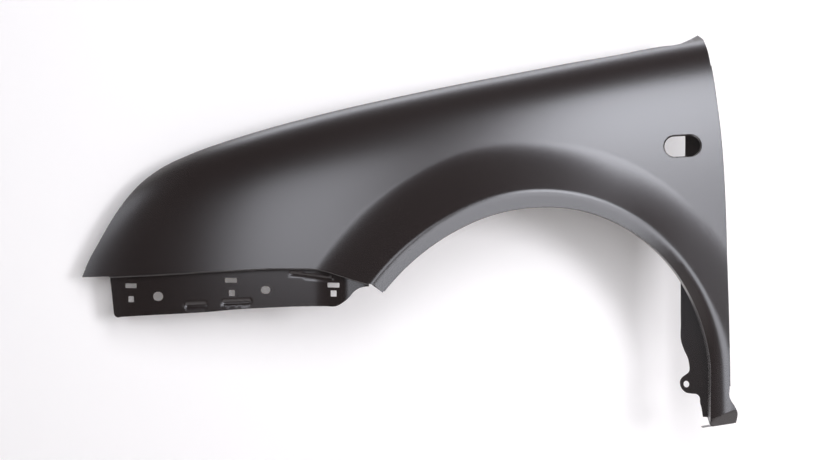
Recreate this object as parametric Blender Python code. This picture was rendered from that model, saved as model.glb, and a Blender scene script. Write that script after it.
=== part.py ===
# Left front fender of a saloon car: one pressing of thin sheet steel.
#
# Axes while the sheet is drawn: X towards the rear of the car, Y inboard and Z up, in metres,
# with the zero point at the centre of the wheel arch's rear arc. Y = 0 is the crease round the
# arch, the outermost line of the panel. At the end the sheet is shifted, so that the origin is
# the centre of the rear bolt seat in the bonnet channel.
#
# The panel is made as a press shop makes it. A flat blank, in side view, is triangulated with
# its outline and the indicator opening, and laid over the body surface. Flanges are flat strips
# with their own outlines and holes, folded off the edges of the blank. The strips are welded to
# the blank, and the whole sheet is thickened inwards.

import math

import bmesh
import bpy
import numpy as np
from mathutils import kdtree
from mathutils.geometry import delaunay_2d_cdt

# Sheet
SHEET = 0.0008
BEND = 0.0025           # outside radius of every fold
BEND_STEPS = 3          # facets in a fold
MESH_STEP = 0.021       # spacing of the blank's points
FINE_STEP = 0.0035      # facets round holes
RELIEF = 0.004          # from a corner of the blank to the flanges that leave it
FREE_CORNER = 0.004     # cut off the corners of a flange
WELD = 2e-5             # gap over which strips are joined to the blank
SHARP = math.radians(50)

# Wheel arch: two arcs that meet smoothly, then a straight leg down to the sill
ARCH_REAR_RADIUS = 0.318
ARCH_FRONT_RADIUS = 0.442
ARCH_JOINT_ANGLE = math.radians(116)
ARCH_FRONT_ANGLE = math.radians(143.1)   # where the front arc ends, at the bumper line
# Angle in degrees about the rear arc's centre and width of the lip band there
LIP_WIDTHS = [(-18, 0.0195), (-4, 0.0182), (18, 0.0228), (38, 0.0232), (60, 0.0245),
              (76, 0.0260), (92, 0.0290), (112, 0.0295), (128, 0.0282), (152, 0.0262)]
LIP_TILT_FRONT = 0.12   # slope of the lip band towards the wheel
LIP_TILT_REAR = 0.55
FLARE_WIDTH_REAR = 0.070    # from the crease out to the plain body side
FLARE_WIDTH_FRONT = 0.102
FLARE_SPREAD = math.radians(140)    # over which the width grows, from the leg forwards
FLARE_POWER = 1.55
FLARE_ROUND = 0.010     # softens the flare's start at the crease
CREASE_ROUND = 0.0035
ARCH_RETURN = 0.024

# Body side: its lean above the wheel, the shoulder roll under the bonnet line, the nose sweep
LEAN_DEPTH = 0.0477
LEAN_HEIGHT = 0.742
LEAN_POWER = 1.62
SHOULDER_DEPTH = 0.0420
SHOULDER_LENGTH = 0.0526
EDGE_DEPTH = 0.0029     # a tighter roll right at the bonnet line
EDGE_LENGTH = 0.009
SWEEP_START = 0.178
SWEEP_LENGTH = 1.010
SWEEP_TAPER = 0.067
NOSE_ROLL = 0.0478
NOSE_POWER = 5.9

# Outlines in side view. Heights of the first four are counted from the top of the arch crease,
# and X of the rear edge from the straight leg of that crease.
BONNET_LINE = [(0.360, 0.292), (0.203, 0.265), (0.0, 0.227), (-0.2, 0.189), (-0.4, 0.146),
               (-0.55, 0.107), (-0.65, 0.075), (-0.72, 0.044), (-0.80, -0.006), (-0.92, -0.095)]
TOP_EDGE = [(0.1989, 0.2603), (0.1576, 0.2514), (0.1142, 0.2436), (0.0702, 0.2364),
            (-0.0033, 0.2227), (-0.2005, 0.185), (-0.3969, 0.1421), (-0.5428, 0.103),
            (-0.6383, 0.071), (-0.6987, 0.0431), (-0.7371, 0.013), (-0.7732, -0.0314),
            (-0.8069, -0.0873), (-0.8317, -0.1325)]
REAR_TOP_EDGE = [(-0.0251, 0.2861), (-0.044, 0.2758), (-0.0569, 0.2702), (-0.0955, 0.2643)]
REAR_EDGE = [(0.0153, -0.3471), (0.0137, -0.2242), (0.0121, -0.1182), (0.0104, -0.0118),
             (0.0054, 0.0953), (-0.0015, 0.1678), (-0.0071, 0.2227), (-0.0113, 0.2589),
             (-0.0154, 0.278)]
# Counted from the front end of the arch crease, towards the nose
BUMPER_LINE = [(-0.0368, 0.0082), (-0.0598, 0.0151), (-0.0879, 0.023), (-0.1527, 0.0261),
               (-0.2681, 0.0214), (-0.3859, 0.0141), (-0.4844, 0.0087)]
NOSE_TIP = (-0.5427, 0.008)

# Sill foot under the door corner
SILL_CREASE = 0.073     # below the arch centre, at the crease of the leg
SILL_SLOPE = 0.14
SILL_HEIGHT = 0.0250
SILL_TUCK = 0.50        # slope of the sill strip under the car
FOOT_LENGTH = 0.0280    # how far the foot runs behind the leg's crease
FOOT_RISE = 0.003       # of its lower rear corner over the line of the slope
# From the foot's lower rear corner, up and forwards into the rear edge
FOOT_HEEL = [(0, 0.0180), (-0.0060, 0.0318), (-0.0118, 0.0405), (-0.0146, 0.0475)]
SILL_FLANGE = 0.022
SILL_CORNER = 0.005
SILL_TAB = 0.013        # how far a tongue of the flange runs on under the wheel arch
TAB_ROOT = 0.004        # the part of the flange left of the tongue
SILL_SEAT_LENGTH = 0.022
SILL_SEAT_WIDTH = 0.014
SILL_SEAT_CORNER = 0.003

# Side indicator opening
LAMP_X = 0.254
LAMP_Z = 0.3993
LAMP_LENGTH = 0.0695
LAMP_HEIGHT = 0.042
LAMP_TILT = math.radians(3)
LAMP_RIM = 0.0035

# Bonnet channel
CHANNEL_WALL = 0.016
CHANNEL_LEAN = math.radians(9.8)    # of the wall, inboard on its way down
CHANNEL_SHELF = 0.026
CHANNEL_REAR = 0.189
CHANNEL_FRONT = -0.675
CHANNEL_BOLTS = [0.160, -0.052, -0.264, -0.474, -0.636]
BOLT_HOLE = 0.0075
SEAT_LENGTH = 0.030
SEAT_WIDTH = 0.018
SEAT_CORNER = 0.004
CHANNEL_CORNER = 0.010

# Return along the headlamp: its gap to the channel and its length, both along X
LAMP_RETURN = 0.012
LAMP_RETURN_GAP = 0.040
LAMP_RETURN_LENGTH = 0.120

# Bumper flange, hung from a joggle under the bumper line
JOGGLE = 0.012
JOGGLE_LEAST = 0.12     # share of it left at the gusset's tip
BUMPER_DROP = 0.063     # of the flat strip that the flange is cut from
BUMPER_FRONT = -0.787
BUMPER_REAR = -0.309
GUSSET_BEND = -0.345
BUMPER_FOOT = [(-0.7799, 0.0883), (-0.7085, 0.0936), (-0.6516, 0.0973), (-0.5945, 0.1014),
               (-0.5397, 0.1066), (-0.4844, 0.1098), (-0.4299, 0.1123), (-0.3849, 0.1133),
               (-0.3618, 0.114)]
GUSSET_FOOT = [(-0.3528, 0.1189), (-0.3418, 0.1274), (-0.3308, 0.14), (-0.3199, 0.1474),
               (-0.3089, 0.1503)]
BUMPER_CORNER = 0.009
# Holes and beads in side view: X, Z, length, height and, for a bead, its slope
CLIP_SLOTS = [(-0.746, 0.1473), (-0.5559, 0.1589), (-0.3679, 0.1512)]
SLOT_LENGTH = 0.022
SLOT_WIDTH = 0.0085
SLOT_CORNER = 0.0015
SQUARE_HOLES = [(-0.7455, 0.1225), (-0.5543, 0.1356), (-0.3676, 0.1362)]
SQUARE_SIZE = 0.011
SQUARE_CORNER = 0.0012
LOCATING_HOLES = [(-0.6931, 0.1284, 0.0192, 0.0164), (-0.4922, 0.1417, 0.0173, 0.0138)]
BEADS = [(-0.6214, 0.1122, 0.0416, 0.0124, 0.05), (-0.5455, 0.1189, 0.0543, 0.0119, 0.05),
         (-0.4086, 0.1655, 0.080, 0.0065, -0.12)]
BEAD_DEPTH = 0.0018     # the beads are sunk
BEAD_WALL = 0.0027

# Door side flange
DOOR_RETURN = 0.012
DOOR_ANGLE = math.radians(40)      # between the flange and the body side, in plan
# Z and reach forwards, from the foot up
DOOR_OUTLINE = [(-0.0835, 0.0400), (-0.068, 0.0418), (-0.058, 0.0440), (-0.0485, 0.0445),
                (-0.0445, 0.0475), (-0.0431, 0.0568), (-0.0414, 0.0662), (-0.0347, 0.0725),
                (-0.0222, 0.0749), (-0.0157, 0.0723), (-0.0108, 0.0675), (-0.0049, 0.0611),
                (0.015, 0.0608), (0.0379, 0.0684), (0.0504, 0.0717), (0.0865, 0.0718),
                (0.150, 0.0705), (0.280, 0.068), (0.400, 0.055), (0.545, 0.045)]
DOOR_HEEL = (0.012, 0.006)         # drop of the foot's outer corner and its reach
EAR_HOLE = 0.012
EAR_PLACE = (-0.0265, 0.0650)

# Finish: satin black primer
PRIMER_COLOUR = (0.012, 0.0125, 0.0135, 1)
PRIMER_ROUGHNESS = 0.4


def smooth_curve(knots, step):
    """Points about one step apart on a smooth curve through the knots."""
    knots = np.array(knots, float)
    along = np.concatenate([[0], np.cumsum(np.hypot(*np.diff(knots, axis=0).T))])
    slopes = np.gradient(knots, along, axis=0)
    count = max(2, round(along[-1] / step) + 1)
    places = np.linspace(0, along[-1], count)
    k = np.clip(np.searchsorted(along, places, side="right") - 1, 0, len(knots) - 2)
    gap = (along[k + 1] - along[k])[:, None]
    t = (places[:, None] - along[k][:, None]) / gap
    return ((2 * t**3 - 3 * t**2 + 1) * knots[k] + (t**3 - 2 * t**2 + t) * gap * slopes[k]
            + (3 * t**2 - 2 * t**3) * knots[k + 1] + (t**3 - t**2) * gap * slopes[k + 1])


def soft_ramp(s, rounding):
    """s where it is positive and 0 where it is negative, with a rounded corner."""
    return np.where(abs(s) < rounding, (s + rounding)**2 / (4 * rounding), np.maximum(s, 0))


# Form of the body side

ARCH_FRONT_CENTRE = (np.array([math.cos(ARCH_JOINT_ANGLE), math.sin(ARCH_JOINT_ANGLE)])
                     * (ARCH_REAR_RADIUS - ARCH_FRONT_RADIUS))
BONNET_CURVE = smooth_curve(BONNET_LINE, 0.01)[::-1] + [0, ARCH_REAR_RADIUS]
LIP_CURVE = smooth_curve(LIP_WIDTHS, 2)


def crease_point(angle, inset=0.0):
    """The point of the arch crease at an angle about its own arc's centre, moved inwards."""
    on_front = angle > ARCH_JOINT_ANGLE
    centre = ARCH_FRONT_CENTRE if on_front else np.zeros(2)
    radius = ARCH_FRONT_RADIUS if on_front else ARCH_REAR_RADIUS
    return centre + (radius - inset) * np.array([math.cos(angle), math.sin(angle)])


def beyond_crease(x, z):
    """Distance outwards from the crease round the arch, negative over the lip band."""
    fx, fz = x - ARCH_FRONT_CENTRE[0], z - ARCH_FRONT_CENTRE[1]
    ahead = fx * math.sin(ARCH_JOINT_ANGLE) < fz * math.cos(ARCH_JOINT_ANGLE)
    front = np.hypot(fx, fz) - ARCH_FRONT_RADIUS
    rear = np.hypot(x, z) - ARCH_REAR_RADIUS
    return np.where(ahead, front, np.where(z > 0, rear, x - ARCH_REAR_RADIUS))


def round_the_arch(x, z):
    """0 at the rear leg of the arch, rising to 1 over its top and stays 1 down the front."""
    share = np.clip(np.arctan2(z, x) / math.radians(100), 0, 1)
    return share * share * (3 - 2 * share)


def lip_width(x, z):
    """From the crease to where the return folds away."""
    angle = math.degrees(math.atan2(z, x))
    return float(np.interp(angle, LIP_CURVE[:, 0], LIP_CURVE[:, 1])) - BEND


def body_depth(x, z):
    """How far inboard the plain body side lies, before the arch is flared."""
    below = np.interp(x, BONNET_CURVE[:, 0], BONNET_CURVE[:, 1]) - z
    lean = LEAN_DEPTH * np.clip(1 - below / LEAN_HEIGHT, 0, None)**LEAN_POWER
    shoulder = (SHOULDER_DEPTH * np.exp(-below / SHOULDER_LENGTH)
                + EDGE_DEPTH * np.exp(-np.maximum(below, 0) / EDGE_LENGTH))
    ahead = np.clip((SWEEP_START - x) / SWEEP_LENGTH, 0, None)
    return lean + shoulder + SWEEP_TAPER * ahead**2 + NOSE_ROLL * ahead**NOSE_POWER


def flare_width(x, z):
    share = np.clip(np.arctan2(z, x) / FLARE_SPREAD, 0, 1)
    return FLARE_WIDTH_REAR + (FLARE_WIDTH_FRONT - FLARE_WIDTH_REAR) * share


def surface_depth(x, z):
    """Y of the finished outer surface."""
    s = beyond_crease(x, z)
    share = np.clip(soft_ramp(s, FLARE_ROUND) / flare_width(x, z), 0, 1)
    flared = body_depth(x, z) * (1 - (1 - share)**FLARE_POWER)
    tilt = LIP_TILT_REAR + (LIP_TILT_FRONT - LIP_TILT_REAR) * round_the_arch(x, z)
    lip = tilt * soft_ramp(-s, CREASE_ROUND)
    under = SILL_SLOPE * (x - ARCH_REAR_RADIUS) - SILL_CREASE - z
    tuck = SILL_TUCK * soft_ramp(under, CREASE_ROUND)
    return flared + np.maximum(lip, tuck)


def on_surface(flat):
    x, z = np.asarray(flat, float).T
    return np.stack([x, surface_depth(x, z), z], axis=1)


def outward_normals(flat):
    """Unit normals of the outer surface, pointing away from the car."""
    x, z = np.asarray(flat, float).T
    d = 1e-5
    by_x = (surface_depth(x + d, z) - surface_depth(x - d, z)) / (2 * d)
    by_z = (surface_depth(x, z + d) - surface_depth(x, z - d)) / (2 * d)
    normals = np.stack([by_x, -np.ones_like(by_x), by_z], axis=1)
    return normals / np.linalg.norm(normals, axis=1)[:, None]


# Flat patterns

def line(start, end, step):
    count = max(1, round(math.dist(start, end) / step))
    return np.linspace(start, end, count + 1)


def rounded_slot(centre, length, width, corner, tilt=0.0, step=FINE_STEP):
    """Closed outline of a rectangle with rounded corners, anticlockwise."""
    corner = min(corner, width / 2, length / 2)
    turns = max(2, round(corner * math.pi / 2 / step))
    points = []
    for k, (sx, sy) in enumerate(((1, 1), (-1, 1), (-1, -1), (1, -1))):
        hub = np.array([sx * (length / 2 - corner), sy * (width / 2 - corner)])
        for i in range(turns + 1):
            angle = (k + i / turns) * math.pi / 2
            points.append(hub + corner * np.array([math.cos(angle), math.sin(angle)]))
    points = np.array(points)
    keep = np.hypot(*(points - np.roll(points, 1, axis=0)).T) > 1e-5
    turn = np.array([[math.cos(tilt), math.sin(tilt)], [-math.sin(tilt), math.cos(tilt)]])
    return points[keep] @ turn + centre


def inside(points, loop):
    """Which points lie inside a closed outline."""
    x, y = points[:, 0][:, None], points[:, 1][:, None]
    (x0, y0), (x1, y1) = loop.T, np.roll(loop, -1, axis=0).T
    crosses = (y0 > y) != (y1 > y)
    with np.errstate(divide="ignore", invalid="ignore"):
        at = x0 + (y - y0) / (y1 - y0) * (x1 - x0)
    return (crosses & (x < at)).sum(axis=1) % 2 == 1


def grown(loop, share=1.001):
    """An outline a hair larger, so that its own points lie inside it."""
    return (loop - loop.mean(axis=0)) * share + loop.mean(axis=0)


def thinned(fixed, wanted, clearance):
    """The wanted points that stay clear of the fixed ones and of each other."""
    tree = kdtree.KDTree(len(fixed) + len(wanted))
    for i, p in enumerate(np.concatenate([fixed, wanted])):
        tree.insert((p[0], p[1], 0), i)
    tree.balance()
    dropped = set()
    for i, p in enumerate(wanted):
        number = i + len(fixed)
        for _, other, _ in tree.find_range((p[0], p[1], 0), clearance[i]):
            if other < number and other not in dropped:
                dropped.add(number)
                break
    kept = [p for i, p in enumerate(wanted) if i + len(fixed) not in dropped]
    return np.array(kept).reshape(-1, 2)


def relaxed(points, faces, first):
    """The points from a number on, each moved to the middle of its neighbours."""
    sums, counts = np.zeros_like(points), np.zeros(len(points))
    for a, b in ((0, 1), (1, 2), (2, 0)):
        for here, there in ((a, b), (b, a)):
            np.add.at(sums, faces[:, here], points[faces[:, there]])
            np.add.at(counts, faces[:, here], 1)
    moved = points.copy()
    moved[first:] = sums[first:] / np.maximum(counts[first:], 1)[:, None]
    return moved


def triangulate(outline, loops, holes, wanted, clearance, settled=0, relax=0):
    """Points and triangles of a flat pattern: an outline, inner fold loops, holes and points.

    The wanted points after the settled ones are evened out, as often as relax says."""
    rings = [outline] + loops + holes
    fixed = np.concatenate(rings)
    edges, start = [], 0
    for ring in rings:
        edges += [(start + i, start + (i + 1) % len(ring)) for i in range(len(ring))]
        start += len(ring)
    rows, loose = thinned(fixed, wanted[:settled], clearance[:settled]), np.zeros((0, 2))
    if settled < len(wanted):
        loose = thinned(np.concatenate([fixed, rows]), wanted[settled:], clearance[settled:])
    free = []
    for group in (rows, loose):
        kept = inside(group, outline)
        for hole in holes:
            kept &= ~inside(group, hole)
        free.append(group[kept])
    loose_from = len(fixed) + len(free[0])
    free = np.concatenate(free)
    flat = np.concatenate([fixed, free])
    for turn in range(relax + 1):
        found = delaunay_2d_cdt([tuple(p) for p in flat], edges, [], 0, 1e-7)
        points, faces = np.array([tuple(p) for p in found[0]]), np.array(found[2])
        if turn < relax and len(points) == len(flat):
            flat = relaxed(points, faces, loose_from)
    middles = points[faces].mean(axis=1)
    kept = inside(middles, outline)
    for hole in holes:
        kept &= ~inside(middles, hole)
    return points, faces[kept & ~outer_slivers(faces, len(outline))]


def outer_slivers(faces, count):
    """Faces outside an anticlockwise outline: they run along one of its edges the wrong way."""
    start, end = faces, np.roll(faces, -1, axis=1)
    return ((end < count) & (start < count) & ((end + 1) % count == start)).any(axis=1)


# Blank

def marked(points, axis=0, values=(), close=0.004):
    """The run with a point near each end, for the relief of its flange, and at given values."""
    along = np.concatenate([[0], np.cumsum(np.hypot(*np.diff(points, axis=0).T))])
    stops = [RELIEF, along[-1] - RELIEF]
    order = np.argsort(points[:, axis])
    stops += [float(np.interp(v, points[order, axis], along[order])) for v in values]
    kept = [a for a in along[1:-1] if min(abs(a - stop) for stop in stops) > close]
    places = np.unique([0, along[-1]] + stops + kept)
    return np.stack([np.interp(places, along, points[:, k]) for k in (0, 1)], axis=1)


def headlamp_ends():
    """X of the upper and the lower end of the headlamp's return."""
    upper = CHANNEL_FRONT - LAMP_RETURN_GAP
    return upper, upper - LAMP_RETURN_LENGTH


def blank_edges(step):
    """The edges of the blank in side view, in order round it, each as its own run of points."""
    turn = round(ARCH_FRONT_RADIUS * (ARCH_FRONT_ANGLE - ARCH_JOINT_ANGLE) / step)
    sweep = round(ARCH_REAR_RADIUS * ARCH_JOINT_ANGLE / step)
    angles = np.concatenate([np.linspace(ARCH_FRONT_ANGLE, ARCH_JOINT_ANGLE, turn, endpoint=False),
                             np.linspace(ARCH_JOINT_ANGLE, 0, sweep)])
    arch = np.array([crease_point(a, lip_width(*crease_point(a))) for a in angles])
    low = -SILL_CREASE - SILL_HEIGHT
    foot_front = np.array([ARCH_REAR_RADIUS - lip_width(ARCH_REAR_RADIUS, low), low])
    foot_rear = np.array([ARCH_REAR_RADIUS + FOOT_LENGTH,
                          low + SILL_SLOPE * FOOT_LENGTH + FOOT_RISE])
    crest = np.array([0, ARCH_REAR_RADIUS])
    rear = np.array(REAR_EDGE) + [ARCH_REAR_RADIUS - BEND, ARCH_REAR_RADIUS]
    crease_end = crease_point(ARCH_FRONT_ANGLE)
    bumper = np.array(BUMPER_LINE) + crease_end + [0, BEND]
    tip = crease_end + NOSE_TIP
    heel = foot_rear + np.array(FOOT_HEEL)
    top = smooth_curve(np.concatenate([np.array(TOP_EDGE) + crest, [tip]]), step)
    under = smooth_curve(np.concatenate([[tip], bumper[::-1], [crease_end]]), step)
    return {
        "arch": marked(np.concatenate([arch, line(arch[-1], foot_front, step)[1:]])),
        "sill": marked(line(foot_front, foot_rear, step)),
        "foot": smooth_curve([foot_rear, *heel, rear[0]], step / 3),
        "rear": marked(smooth_curve(rear, step), 1, [DOOR_OUTLINE[-1][0]]),
        "rear_top": smooth_curve(np.array(REAR_TOP_EDGE) + [ARCH_REAR_RADIUS, ARCH_REAR_RADIUS],
                                 step),
        "top": marked(top, 0, [CHANNEL_REAR, CHANNEL_FRONT, *headlamp_ends()]),
        "bumper": marked(under, 0, [BUMPER_FRONT, GUSSET_BEND, BUMPER_REAR]),
    }


def lamp_outline(step=FINE_STEP):
    return rounded_slot((LAMP_X, LAMP_Z), LAMP_LENGTH, LAMP_HEIGHT, LAMP_HEIGHT / 2,
                        LAMP_TILT, step)


def form_points(edges, step):
    """Points where the surface bends most, then a plain grid over the rest."""
    points, clear = [], []

    def add(new, gap):
        points.append(np.asarray(new, float))
        clear.append(np.full(len(new), gap))

    for offset in (0, 1, -1, 3, 6.5, 11, 17):
        inset = -offset * CREASE_ROUND
        last = ARCH_FRONT_ANGLE - 2 * RELIEF / ARCH_FRONT_RADIUS
        angles = np.linspace(0, last, round(last * ARCH_REAR_RADIUS / step))
        add([crease_point(a, inset) for a in angles], CREASE_ROUND * 0.7)
        legs = np.arange(-SILL_CREASE - SILL_HEIGHT, 0, step)
        add([(ARCH_REAR_RADIUS - inset, z) for z in legs], CREASE_ROUND * 0.7)
    sill = np.arange(ARCH_REAR_RADIUS, ARCH_REAR_RADIUS + FOOT_LENGTH, step / 2)
    for drop in (-CREASE_ROUND, CREASE_ROUND):
        add([(x, SILL_SLOPE * (x - ARCH_REAR_RADIUS) - SILL_CREASE - drop) for x in sill],
            CREASE_ROUND * 0.7)
    top = edges["top"]
    along = np.gradient(top, axis=0)
    down = np.stack([-along[:, 1], along[:, 0]], axis=1) / np.hypot(*along.T)[:, None]
    for share in (0.15, 0.4, 0.8, 1.3):
        add(top + down * share * SHOULDER_LENGTH, share * SHOULDER_LENGTH * 0.5)
    low, high = np.min(np.concatenate(list(edges.values())), axis=0), edges["rear_top"][0]
    xs, zs = np.arange(low[0], high[0] + step, step), np.arange(low[1], high[1] + step, step)
    grid = np.array([(x + (j % 2) * step / 2, z) for j, z in enumerate(zs) for x in xs])
    settled = sum(len(group) for group in points)
    add(grid, step * 0.7)
    return np.concatenate(points), np.concatenate(clear), settled


# Folded strips

class Edge:
    """A run of the blank's edge, with the frame that its flange is folded in."""

    def __init__(self, flat, closed=False):
        self.flat = flat
        self.at = on_surface(flat)
        self.normal = outward_normals(flat)
        if closed:
            tangent = np.roll(self.at, -1, axis=0) - np.roll(self.at, 1, axis=0)
        else:
            tangent = np.gradient(self.at, axis=0)
        self.tangent = tangent / np.linalg.norm(tangent, axis=1)[:, None]
        self.out = np.cross(self.tangent, self.normal)
        steps = np.linalg.norm(np.diff(self.at, axis=0), axis=1)
        self.along = np.concatenate([[0], np.cumsum(steps)])

    def by_x(self, x):
        """Distance along the edge at which it reaches x."""
        order = np.argsort(self.flat[:, 0])
        return float(np.interp(x, self.flat[order, 0], self.along[order]))

    def by_z(self, z):
        order = np.argsort(self.flat[:, 1])
        return float(np.interp(z, self.flat[order, 1], self.along[order]))

    def frame(self, a):
        """Place, tangent, outward direction and normal at distances a, run on past the ends."""
        parts = [np.stack([np.interp(a, self.along, values[:, k]) for k in range(3)], axis=1)
                 for values in (self.at, self.tangent, self.out, self.normal)]
        past = a - np.clip(a, 0, self.along[-1])
        parts[0] = parts[0] + past[:, None] * parts[1]
        return parts


class Fold:
    """A strip folded off an edge by one or more legs: (direction or None for straight in, length).

    The legs turn to stay square to the edge, unless the strip is upright."""

    def __init__(self, edge, legs, reach=None, upright=False):
        self.edge, self.legs, self.reach, self.upright = edge, legs, reach, upright
        self.turn = BEND * math.pi / 2
        self.ends = np.cumsum([self.turn + length for _, length in legs])
        self.last = self.ends[-1] - legs[-1][1]     # where the last flat leg starts

    def lift(self, flat):
        """Places in space of points (distance along the edge, distance across the strip)."""
        a, v = np.asarray(flat, float).T
        place, tangent, heading, normal = self.edge.frame(a)
        start = 0.0
        for number, (direction, length) in enumerate(self.legs):
            aim = -normal if direction is None else np.tile(np.array(direction, float), (len(a), 1))
            if not self.upright:
                aim = aim - (aim * tangent).sum(axis=1)[:, None] * tangent
                aim /= np.linalg.norm(aim, axis=1)[:, None]
            cosine = np.clip((aim * heading).sum(axis=1), -1, 1)
            side = aim - cosine[:, None] * heading
            side /= np.maximum(np.linalg.norm(side, axis=1)[:, None], 1e-9)
            turned = np.clip((v - start) / self.turn, 0, 1) * np.arccos(cosine)
            place = place + BEND * (np.sin(turned)[:, None] * heading
                                    + (1 - np.cos(turned))[:, None] * side)
            run = np.clip(v - start - self.turn, 0, None)
            if number < len(self.legs) - 1:
                run = np.minimum(run, length)
                if self.reach is not None:
                    run = run * self.reach(a)
            place = place + run[:, None] * aim
            heading = aim
            start += self.turn + length
        self.heading, self.tangent = heading, tangent
        return place

    def rows(self):
        """Distances across the strip at which it needs a row of points."""
        found, start = [], 0.0
        for _, length in self.legs:
            found += [start + self.turn * k / BEND_STEPS for k in range(BEND_STEPS + 1)]
            parts = max(1, round(length / MESH_STEP))
            found += [start + self.turn + length * k / parts for k in range(1, parts + 1)]
            start += self.turn + length
        return np.unique(np.round(found, 7))


def strip(fold, first, last, free_edge, holes=(), loops=(), gap=0.006):
    """Flat pattern of a strip that leaves its edge between two distances along it.

    free_edge lists (distance along, distance across) from the last end back to the first."""
    edge = fold.edge
    inner = edge.along[(edge.along > first - 1e-6) & (edge.along < last + 1e-6)]
    rows = fold.rows()
    side = rows[(rows > 0) & (rows < fold.last + 1e-6)]
    ends = [np.stack([np.full_like(side, a), side], axis=1) for a in (inner[-1], inner[0])]
    base = np.stack([inner, np.zeros_like(inner)], axis=1)
    outline = np.concatenate([base, ends[0], free_edge, ends[1][::-1]])
    outline = outline[np.hypot(*(outline - np.roll(outline, 1, axis=0)).T) > 1e-6]
    wanted = np.array([(a, v) for v in rows[1:] for a in inner])
    clearance = np.where(wanted[:, 1] < fold.last + 1e-6, 1e-5, gap)
    return triangulate(outline, list(loops), list(holes), wanted, clearance, len(wanted))


def straight_edge(fold, first, last, corner=FREE_CORNER):
    """The free edge of a plain strip, with its two corners cut off."""
    end = fold.ends[-1]
    along = fold.edge.along
    between = along[(along > first + corner) & (along < last - corner)]
    return np.array([(last, end - corner), (last - corner, end)]
                    + [(a, end) for a in between[::-1]]
                    + [(first + corner, end), (first, end - corner)])


def arch_return(edges):
    edge = Edge(edges["arch"])
    fold = Fold(edge, [((0, 1, 0), ARCH_RETURN)])
    first, last = edge.along[1], edge.along[-2]
    flat, faces = strip(fold, first, last, straight_edge(fold, first, last))
    return fold.lift(flat), faces


def sill_flange(edges):
    edge = Edge(edges["sill"])
    fold = Fold(edge, [((0, 1, 0), SILL_FLANGE)])
    first, last = edge.along[1], edge.along[-2]
    end, root = fold.ends[-1], fold.last + TAB_ROOT
    free_edge = [(last, end - SILL_CORNER), (last - SILL_CORNER, end), (first, end),
                 (FREE_CORNER - SILL_TAB, end), (-SILL_TAB, end - FREE_CORNER),
                 (-SILL_TAB, root + FREE_CORNER), (FREE_CORNER - SILL_TAB, root), (first, root)]
    seat = rounded_slot((edge.along[-1] / 2, fold.last + SILL_FLANGE / 2), SILL_SEAT_LENGTH,
                        SILL_SEAT_WIDTH, SILL_SEAT_CORNER, step=2 * SILL_SEAT_CORNER)
    flat, faces = strip(fold, first, last, np.array(free_edge), loops=[seat])
    return fold.lift(flat), faces


def headlamp_return(edges):
    edge = Edge(edges["top"])
    fold = Fold(edge, [(None, LAMP_RETURN)])
    first, last = [edge.by_x(x) for x in headlamp_ends()]
    flat, faces = strip(fold, first, last, straight_edge(fold, first, last))
    return fold.lift(flat), faces


def channel_fold(edges):
    edge = Edge(edges["top"])
    down = (0, math.sin(CHANNEL_LEAN), -math.cos(CHANNEL_LEAN))
    return edge, Fold(edge, [(down, CHANNEL_WALL), ((0, 1, 0), CHANNEL_SHELF)])


def bonnet_channel(edges):
    edge, fold = channel_fold(edges)
    first, last = edge.by_x(CHANNEL_REAR), edge.by_x(CHANNEL_FRONT)
    middle = fold.last + CHANNEL_SHELF / 2
    places = [(edge.by_x(x), middle) for x in CHANNEL_BOLTS]
    holes = [rounded_slot(place, BOLT_HOLE * (1.0 + 0.5 * (i % 2)), BOLT_HOLE, 1)
             for i, place in enumerate(places)]
    seats = [rounded_slot(place, SEAT_LENGTH, SEAT_WIDTH, SEAT_CORNER, step=2 * FINE_STEP)
             for place in places]
    free_edge = straight_edge(fold, first, last, CHANNEL_CORNER)
    flat, faces = strip(fold, first, last, free_edge, holes, seats)
    return level_seats(fold, flat, places, seats), faces


def rear_seat(edges):
    """The middle of the rear bolt seat's land, ahead of its hole: the origin of the part."""
    edge, fold = channel_fold(edges)
    rear = edge.by_x(CHANNEL_BOLTS[0])
    middle = fold.last + CHANNEL_SHELF / 2
    land = (BOLT_HOLE + SEAT_LENGTH) / 4
    centre, ahead = fold.lift([(rear, middle), (rear + land, middle)])
    ahead -= centre
    up = np.cross(fold.heading[0], fold.tangent[0])
    return centre + ahead - up * (ahead @ up)


def level_seats(fold, flat, places, seats):
    """The strip in space, with the material of each bolt seat brought onto one plane."""
    spots = fold.lift(flat)
    centres = fold.lift(places)
    up = np.cross(fold.heading, fold.tangent)
    for centre, normal, seat in zip(centres, up, seats):
        normal = normal / np.linalg.norm(normal)
        on_seat = inside(flat, grown(seat))
        height = (spots[on_seat] - centre) @ normal
        spots[on_seat] -= height[:, None] * normal
    return spots


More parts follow.
